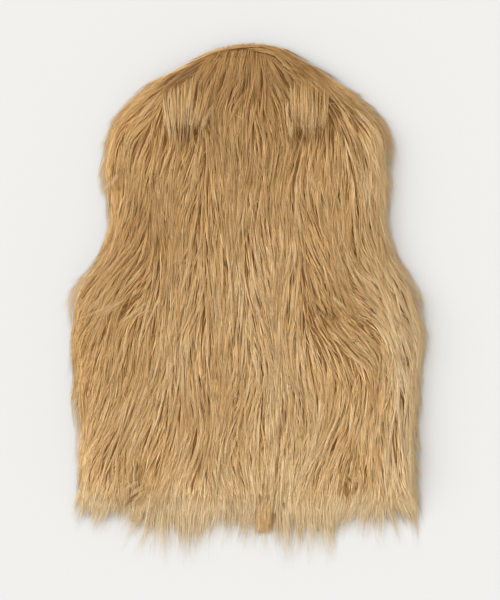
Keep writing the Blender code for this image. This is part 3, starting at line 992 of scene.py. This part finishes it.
def hair_mesh(name, points, tones, style, material):
    """One mesh of closed, tapering, three-sided hairs, with each hair's tone and shade as its map."""
    hairs, stations = points.shape[:2]
    rings = stations - 1
    ahead = np.gradient(points, axis=1)
    ahead /= np.linalg.norm(ahead, axis=2, keepdims=True) + TINY
    side = np.cross(ahead, (0.0, 0.0, 1.0))
    side /= np.linalg.norm(side, axis=2, keepdims=True) + TINY
    upward = np.cross(side, ahead)
    widths = style.width * ranged_draws(WIDTH_RANGE, hairs, WIDTH_SALT + hairs)
    shares = np.interp(style.stations, (0, FULL_WIDTH_FROM, style.taper, 1), WIDTH_SHARES)
    half_widths = np.outer(shares, widths / 2)[:, :, None]
    shades = np.interp(style.stations, (0, 1), style.shading)
    corners = [math.radians(90 + 120 * k) for k in range(3)]
    per_hair = rings * 3 + 1
    spots = np.empty((hairs, per_hair, 3))
    chart = np.empty((hairs, per_hair, 2))
    for ring in range(rings):
        for k, corner in enumerate(corners):
            across = side[:, ring] * math.cos(corner) * half_widths[ring]
            above = upward[:, ring] * math.sin(corner) * half_widths[ring] * HAIR_FLATNESS
            spots[:, ring * 3 + k] = points[:, ring] + across + above
            chart[:, ring * 3 + k, 0] = tones + (k - 1) * CHART_STEP
            chart[:, ring * 3 + k, 1] = shades[ring]
    spots[:, -1] = points[:, -1]
    chart[:, -1, 0] = tones
    chart[:, -1, 1] = shades[-1]
    faces = [(2, 1, 0)]
    for ring in range(rings - 1):
        for k in range(3):
            a, b = ring * 3 + k, ring * 3 + (k + 1) % 3
            faces += [(a, b, b + 3), (a, b + 3, a + 3)]
    last = (rings - 1) * 3
    faces += [(last + k, last + (k + 1) % 3, per_hair - 1) for k in range(3)]
    corners_of = (np.array(faces)[None] + np.arange(hairs)[:, None, None] * per_hair).reshape(-1, 3)
    spots[:, :, 2] = np.maximum(spots[:, :, 2], FLOOR_CLEARANCE / 2)
    return mesh_piece(name, spots.reshape(-1, 3), corners_of, material, chart.reshape(-1, 2))


def add_object(name, data):
    """Puts a mesh, light or camera into the scene."""
    made = bpy.data.objects.new(name, data)
    bpy.context.scene.collection.objects.link(made)
    return made


def mesh_piece(name, spots, faces, material, chart=None):
    """A smooth-shaded mesh object from points and triangles, placed on the vest."""
    mesh = bpy.data.meshes.new(name)
    mesh.vertices.add(len(spots))
    mesh.vertices.foreach_set("co", (spots + (CENTRE, HEM, 0.0)).ravel())
    mesh.loops.add(faces.size)
    mesh.loops.foreach_set("vertex_index", faces.ravel().astype(np.int32))
    mesh.polygons.add(len(faces))
    mesh.polygons.foreach_set("loop_start", np.arange(0, faces.size, 3, dtype=np.int32))
    mesh.update(calc_edges=True)
    if chart is not None:
        layer = mesh.uv_layers.new(name="OFBake")
        layer.uv.foreach_set("vector", chart[faces.ravel()].ravel())
    mesh.shade_smooth()
    mesh.materials.append(material)
    return add_object(name, mesh)


class Wire:
    """A shader value that can stand in sums and products."""

    def __init__(self, board, socket):
        self.board = board
        self.socket = socket

    def combine(self, operation, first, second):
        """Adds one Math node."""
        return self.board.node("ShaderNodeMath", {"operation": operation}, {0: first, 1: second})

    def __add__(self, other):
        return self.combine("ADD", self, other)

    def __sub__(self, other):
        return self.combine("SUBTRACT", self, other)

    def __rsub__(self, other):
        return self.combine("SUBTRACT", other, self)

    def __mul__(self, other):
        return self.combine("MULTIPLY", self, other)

    def __pow__(self, other):
        return self.combine("POWER", self, other)

    __radd__ = __add__
    __rmul__ = __mul__


class Board:
    """The nodes of one finish."""

    def __init__(self, name):
        self.material = bpy.data.materials.new(name)
        self.material.use_nodes = True
        self.tree = self.material.node_tree
        self.finish = self.tree.nodes["Principled BSDF"]

    def node(self, kind, settings=None, inputs=None, output=0):
        """Adds a node with its settings, then its socket values or links, and gives one of its outputs."""
        made = self.tree.nodes.new(kind)
        for key, value in (settings or {}).items():
            if key == "stops":
                self.set_stops(made.color_ramp, value)
            else:
                setattr(made, key, value)
        for key, value in (inputs or {}).items():
            self.feed(made.inputs[key], value)
        return Wire(self, made.outputs[output])

    def vector(self, operation, *values):
        """Adds one Vector Math node."""
        return self.node("ShaderNodeVectorMath", {"operation": operation}, dict(enumerate(values)))

    def mix(self, factor, first, second):
        """Goes from one colour to another by a factor."""
        return self.node("ShaderNodeMix", {"data_type": "RGBA"}, {"Factor": factor, 6: first, 7: second}, 2)

    def set_stops(self, ramp, stops):
        """Gives a colour ramp these stops."""
        while len(ramp.elements) < len(stops):
            ramp.elements.new(1.0)
        for element, (place, colour) in zip(ramp.elements, stops):
            element.position = place
            element.color = (*colour, 1.0)

    def feed(self, socket, value):
        """Links a wire to a socket, or sets its value."""
        if isinstance(value, Wire):
            self.tree.links.new(value.socket, socket)
        elif isinstance(value, tuple) and len(value) == 3 and socket.type == "RGBA":
            socket.default_value = (*value, 1.0)
        else:
            socket.default_value = value

    def set(self, **values):
        """Feeds the finish's own sockets, with underscores for blanks in their names."""
        for key, value in values.items():
            self.feed(self.finish.inputs[key.replace("_", " ")], value)
        return self.material


def fur_finish():
    """Hairs darker at the root and in the tone that each was given."""
    board = Board("fur_pile")
    chart = board.node("ShaderNodeUVMap", {"uv_map": "OFBake"})
    tone = board.node("ShaderNodeSeparateXYZ", None, {0: chart}, "X")
    along = board.node("ShaderNodeSeparateXYZ", None, {0: chart}, "Y")
    hue = board.node("ShaderNodeValToRGB", {"stops": TONES}, {"Fac": tone})
    body = board.mix((1 - along) ** ROOT_REACH, hue, ROOT_COLOUR)
    colour = board.mix(along**TIP_REACH * TIP_SHARE, body, TIP_COLOUR)
    own = board.node("ShaderNodeNewGeometry", output="Normal")
    lifted = board.vector("MULTIPLY_ADD", own, (1 - SHADING_LIFT,) * 3, (0.0, 0.0, SHADING_LIFT))
    return board.set(
        Base_Color=colour,
        Normal=board.vector("NORMALIZE", lifted),
        Roughness=FUR_ROUGHNESS,
        Specular_IOR_Level=FUR_SPECULAR,
        Specular_Tint=FUR_SPECULAR_TINT,
    )


def cloth_finish():
    """The knitted back of the fur cloth: fine ribs with painted shade in their grooves, uneven in tone."""
    board = Board("knit_backing")
    place = board.node("ShaderNodeTexCoord", output="Object")
    ribs = board.node(
        "ShaderNodeTexWave",
        {"wave_type": "BANDS", "bands_direction": "X"},
        {"Vector": place, "Scale": WAVE_PITCH / KNIT_PITCH, "Distortion": KNIT_DISTORTION},
        "Fac",
    )
    spread = {"Vector": place, "Scale": BLOTCH_SCALE, "Detail": BLOTCH_DETAIL}
    blotches = board.node("ShaderNodeTexNoise", None, spread, "Fac")
    # painted shade: the ribs' grooves lean to the darker colour, as do the blotches of uneven tone
    colour = board.mix(ribs * RIB_SHARE + blotches * BLOTCH_SHARE, CLOTH_SHADE, CLOTH_COLOUR)
    height = {"Strength": KNIT_STRENGTH, "Distance": KNIT_RELIEF, "Height": ribs}
    relief = board.node("ShaderNodeBump", None, height)
    return board.set(Base_Color=colour, Roughness=CLOTH_ROUGHNESS, Normal=relief)


def underfur_gap_shade_finish():
    """Felted underfur, streaked along the lie of the pile, painted dark as the shade deep between the locks.
    """
    board = Board("underfur")
    place = board.node("ShaderNodeTexCoord", output="Object")
    drawn_out = board.vector("MULTIPLY", place, UNDERFUR_STRETCH)
    spread = {"Vector": drawn_out, "Scale": 1 / STREAK_PITCH, "Detail": STREAK_DETAIL}
    streaks = board.node("ShaderNodeTexNoise", None, spread, "Fac")
    colour = board.mix(streaks, UNDERFUR_GAP_SHADE_STREAK, UNDERFUR_GAP_SHADE)
    return board.set(Base_Color=colour, Roughness=UNDERFUR_ROUGHNESS)


def floor_finish():
    """A pale matt floor."""
    board = Board("studio_floor")
    return board.set(
        Base_Color=FLOOR_COLOUR, Roughness=FLOOR_ROUGHNESS, Specular_IOR_Level=FLOOR_SPECULAR
    )


def cloth_shell(name, rows, material):
    """A thin closed shell whose top goes through rows of places, each row from left to right."""
    top = np.array(rows)
    down, across = top.shape[:2]
    under = top.copy()
    under[:, :, 2] -= CLOTH_THICKNESS
    spots = np.concatenate([top.reshape(-1, 3), under.reshape(-1, 3)])
    shift = down * across
    faces = []

    def quad(a, b, c, d):
        faces.append((a, b, c))
        faces.append((a, c, d))

    for i in range(down - 1):
        for j in range(across - 1):
            a = i * across + j
            quad(a, a + 1, a + 1 + across, a + across)
            quad(a + shift, a + across + shift, a + 1 + across + shift, a + 1 + shift)
    rim = list(range(across))
    rim += [i * across + across - 1 for i in range(1, down)]
    rim += [(down - 1) * across + j for j in range(across - 2, -1, -1)]
    rim += [i * across for i in range(down - 2, 0, -1)]
    for a, b in zip(rim, rim[1:] + rim[:1]):
        quad(b, a, a + shift, b + shift)
    return mesh_piece(name, spots, np.array(faces), material)


def back_rows(low, inset, level_at):
    """Rows over the back from a height up to the nape, some way in from its edge."""
    rows = []
    count, columns = BACK_GRID
    for height in np.linspace(low, NAPE - inset, count):
        left = -np.interp(height, HEIGHTS, LEFT_REACH) + inset
        right = np.interp(height, HEIGHTS, RIGHT_REACH) - inset
        across = np.linspace(min(left, -NARROWEST), max(right, NARROWEST), columns)
        up = np.full(columns, height)
        rows.append(np.stack([across, up, level_at(across, up)], axis=1))
    return rows


def cloth_wave(across, up, salt):
    """How unevenly a cloth lies."""
    return CLOTH_WAVE * soft_noise(across, up, CLOTH_WAVE_SIZE, salt) * CLOTH_WAVE_SHARE


def back_cloth_level(across, up):
    """The height of the top of the back's cloth."""
    level = BACK_FLOOR + BACK_CLOTH_LIFT + CLOTH_THICKNESS + CLOTH_WAVE
    return level + cloth_wave(across, up, CLOTH_WAVE_SALTS[0])


def underfur_level(across, up):
    """The height of the top of the felted underfur."""
    return pile_part(across, up, UNDERFUR_SHARE)


def neck_edge(up):
    """How far from the centre a front's inner edge runs: straight up the opening, then out round the neck."""
    climb = np.clip((up - NECK_LOW_POINT) / (SHOULDER - NECK_LOW_POINT), 0, 1)
    return CENTRE_GAP / 2 + (NECK_HALF_WIDTH - CENTRE_GAP / 2) * climb**NECK_CURVE


def front_outer(up, side):
    """How far from the centre a front's outer edge runs."""
    return by_side(np.full_like(up, side), up, REACHES) - FRONT_INSET


def front_cloth_rows(side):
    """Rows of a front's cloth, from the hem to the shoulder."""
    rows = []
    level = FRONT_TOP - FRONT_CLOTH_DROP - CLOTH_WAVE
    count, columns = FRONT_GRID
    for up in np.linspace(HEM_TURN, SHOULDER - HEM_TURN, count):
        here = np.full(columns, up)
        inner = neck_edge(up)
        outer = max(front_outer(here, side)[0] - FRONT_CLOTH_INSET, inner + NARROWEST)
        across = np.sort(np.linspace(inner, outer, columns) * side)
        wave = cloth_wave(across, here, CLOTH_WAVE_SALTS[1])
        rows.append(np.stack([across, here, level + wave], axis=1))
    return rows


def coat_locks(coat):
    """The locks of one coat of the back, cut where they would hang too far past the hem."""
    high = NAPE + DOME_RISE
    across, up = scattered_roots(coat.spacing, -ROOT_LIMIT, ROOT_LIMIT, coat.low, high, coat.salt)
    inside = edge_distance(across, up) > np.where(up > NAPE - NAPE_ZONE, coat.nape_inset, coat.inset)
    across, up = across[inside], up[inside]
    count = len(across)
    lengths = coat.length * (1 + LOCK_UNEVEN * centred_draws(count, coat.salt + 2))
    hang = coat.hangs[0] + (coat.hangs[1] - coat.hangs[0]) * unit_draws(count, coat.salt + 3)
    room = up + hem_hang(across) * hang
    return pile_locks((across, up), np.minimum(lengths, room), coat.style, coat.salt + 4)


def back_hairs(locks, style, salt, top=pile_top):
    """The hairs of locks that root in the back's cloth."""
    return hairs_of(locks, style, salt, BACK_ROOT_HEIGHT, top)


def make_back(fur, cloth):
    """The back: its cloth, underfur and undercoat, its pile from the hem up, and the wisps on it."""
    shell = cloth_shell("back_cloth", back_rows(HEM_TURN, BACK_CLOTH_INSET, back_cloth_level), cloth)
    felt_rows = back_rows(UNDERFUR_LOW, UNDERFUR_INSET, underfur_level)
    # the underfur sheet, painted dark as the shade between the locks
    pieces = [cloth_shell("back_underfur", felt_rows, underfur_gap_shade_finish())]
    locks = coat_locks(UNDER_LAYER)
    # the undercoat painted darker, as shade deep in the pile
    locks = locks._replace(tone=locks.tone - UNDERCOAT_SHADE)
    hairs = back_hairs(locks, UNDERCOAT, UNDER_LAYER.hair_salt, under_top)
    pieces.append(hair_mesh("back_undercoat", *hairs, UNDERCOAT, fur))
    points, tones = back_hairs(coat_locks(BODY_LAYER), BODY, BODY_LAYER.hair_salt)
    order = np.argsort(points[:, 0, 1], kind="stable")
    for number, start in enumerate(range(0, len(order), HAIRS_PER_PIECE)):
        part = order[start : start + HAIRS_PER_PIECE]
        pieces.append(hair_mesh(f"back_fur_{number + 1}", points[part], tones[part], BODY, fur))
    hairs = back_hairs(coat_locks(CROWN_LAYER), BODY, CROWN_LAYER.hair_salt)
    pieces.append(hair_mesh("back_crown_fur", *hairs, BODY, fur))
    for name, wisps, style, salt in (
        ("back_wisps", WISPS, WISP, 100),
        ("back_tufts", tuft_wisps(TUFTS, TUFT_UNEVEN, TUFT_START_UNEVEN), TUFT, 110),
        ("back_blunt_tuft", tuft_wisps(BLUNT_TUFTS, BLUNT_UNEVEN, 0.0), BLUNT, 115),
        # dark strands as painted shade in the hollows and beside the blunt tuft
        ("back_shade_slits", SHADE_SLITS, SHADE_SLIT, 240),
        ("back_nape_cap", crest_wisps(NAPE_CAP) + nape_wisps(), CAP, 150),
        ("back_nape_rim", crest_wisps(NAPE_RIM), RIM, 230),
        ("back_edge_hairs", edge_wisps(), EDGE, 190),
        ("back_stray_hairs", stray_wisps(), STRAY, 120),
    ):
        pieces.append(hair_mesh(name, *back_hairs(laid_locks(wisps), style, salt), style, fur))
    return shell, pieces


def make_hem(fur):
    """The pile that hangs past the back's hem."""
    across, up = scattered_roots(HEM_LOCK_SPACING, *HEM_SIDES, 0.0, HEM_ROOT_TOP, HEM_SALT)
    length = up + hem_hang(across) * ranged_draws(HEM_HANGS, len(across), HEM_SALT + 2)
    locks = pile_locks((across, up), length, HEM_PILE, HEM_SALT + 3)
    # the hem's hairs painted paler, as painted light
    locks = locks._replace(tone=locks.tone + HEM_PAINTED_LIGHT)
    return hair_mesh("back_hem_fur", *back_hairs(locks, HEM_PILE, HEM_SALT + 14, hem_top), HEM_PILE, fur)


def front_pile_level(across, up):
    """The height at which a front's pressed pile lies."""
    return np.full_like(across, PRESSED_LEVEL)


def pressed_fur(name, across, up, length, style, salt, fur):
    """Pressed pile from roots in a front's cloth."""
    locks = pile_locks((across, up), length, style, salt)
    points, tones = hairs_of(locks, style, salt + 11, FRONT_ROOT_HEIGHT, front_pile_level)
    return hair_mesh(name, points, tones, style, fur)


def make_front(name, side, fur, cloth, salt):
    """One front: its cloth, its pressed pile, and the pile past its hem."""
    shell = cloth_shell(name + "_cloth", front_cloth_rows(side), cloth)
    across, up = scattered_roots(PRESSED_SPACING, 0.0, FRONT_ROOT_LIMIT, 0.0, SHOULDER, salt)
    inner = neck_edge(up) + FRONT_ROOT_INSETS[0]
    outer = front_outer(up, side) - FRONT_ROOT_INSETS[1]
    inside = (across > inner) & (across < outer)
    across, up = across[inside] * side, up[inside]
    length = LOCK_LENGTH * (1 + LOCK_UNEVEN * centred_draws(len(across), salt + 2))
    length = np.minimum(length, up + PRESSED_HANG * hem_hang(across))
    pile = pressed_fur(name + "_fur", across, up, length, PRESSED, salt + 3, fur)
    salt = salt + 30
    across, up = scattered_roots(PRESSED_HEM_SPACING, *FRONT_HEM_SIDES, 0.0, FRONT_HEM_ROOT_TOP, salt)
    across = across * side
    least, more = PRESSED_HEM_SHARES
    length = up + PRESSED_HEM_HANG * hem_hang(across) * (least + more * unit_draws(len(across), salt + 2))
    hem = pressed_fur(name + "_hem_fur", across, up, length, PRESSED_HEM, salt + 3, fur)
    return shell, pile, hem


def make_floor():
    """A wide plain floor."""
    half = FLOOR_HALF
    spots = np.array([(-half, -half, 0), (half, -half, 0), (half, half, 0), (-half, half, 0)], float)
    floor = mesh_piece("floor", spots, np.array([(0, 1, 2), (0, 2, 3)]), floor_finish())


def make_key_light():
    """A broad soft light from the upper left, as even over the floor as a far window."""
    lamp = bpy.data.lights.new("key", "SUN")
    lamp.energy = KEY_STRENGTH
    lamp.color = KEY_COLOUR
    lamp.angle = KEY_BREADTH
    holder = add_object("key", lamp)
    holder.rotation_euler = Vector(KEY_HEADING).to_track_quat("-Z", "Y").to_euler()


def make_studio():
    """Soft light from the upper left, an even surround, and the camera straight above."""
    scene = bpy.context.scene
    scene.view_settings.view_transform = "Standard"
    world = bpy.data.worlds.new("surround")
    world.use_nodes = True
    surround = world.node_tree.nodes["Background"].inputs
    surround["Color"].default_value = SURROUND_COLOUR
    surround["Strength"].default_value = SURROUND_STRENGTH
    scene.world = world
    make_key_light()
    camera = bpy.data.cameras.new("camera")
    camera.lens = SENSOR * CAMERA_HEIGHT / FRAME_HEIGHT
    camera.sensor_width = SENSOR
    scene.camera = add_object("camera", camera)
    scene.camera.location = (CENTRE, HEM + FRAME_MIDDLE, CAMERA_HEIGHT)


def main():
    """Builds the vest and the studio around it, sets each piece under the root body, and hides the solids
    they replace.
    """
    fur = fur_finish()
    cloth = cloth_finish()
    back, back_fur = make_back(fur, cloth)
    hem = make_hem(fur)
    for piece in (back, *back_fur, hem):
        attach(piece, "root")
    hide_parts("back")
    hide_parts("back_hem_locks")
    for name, side, salt in (("front_left", -1, 200), ("front_right", 1, 300)):
        shell, pile, front_hem = make_front(name, side, fur, cloth, salt)
        for piece in (shell, pile, front_hem):
            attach(piece, "root")
        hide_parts(name)
        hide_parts(name + "_hem_locks")
    make_floor()
    make_studio()


main()
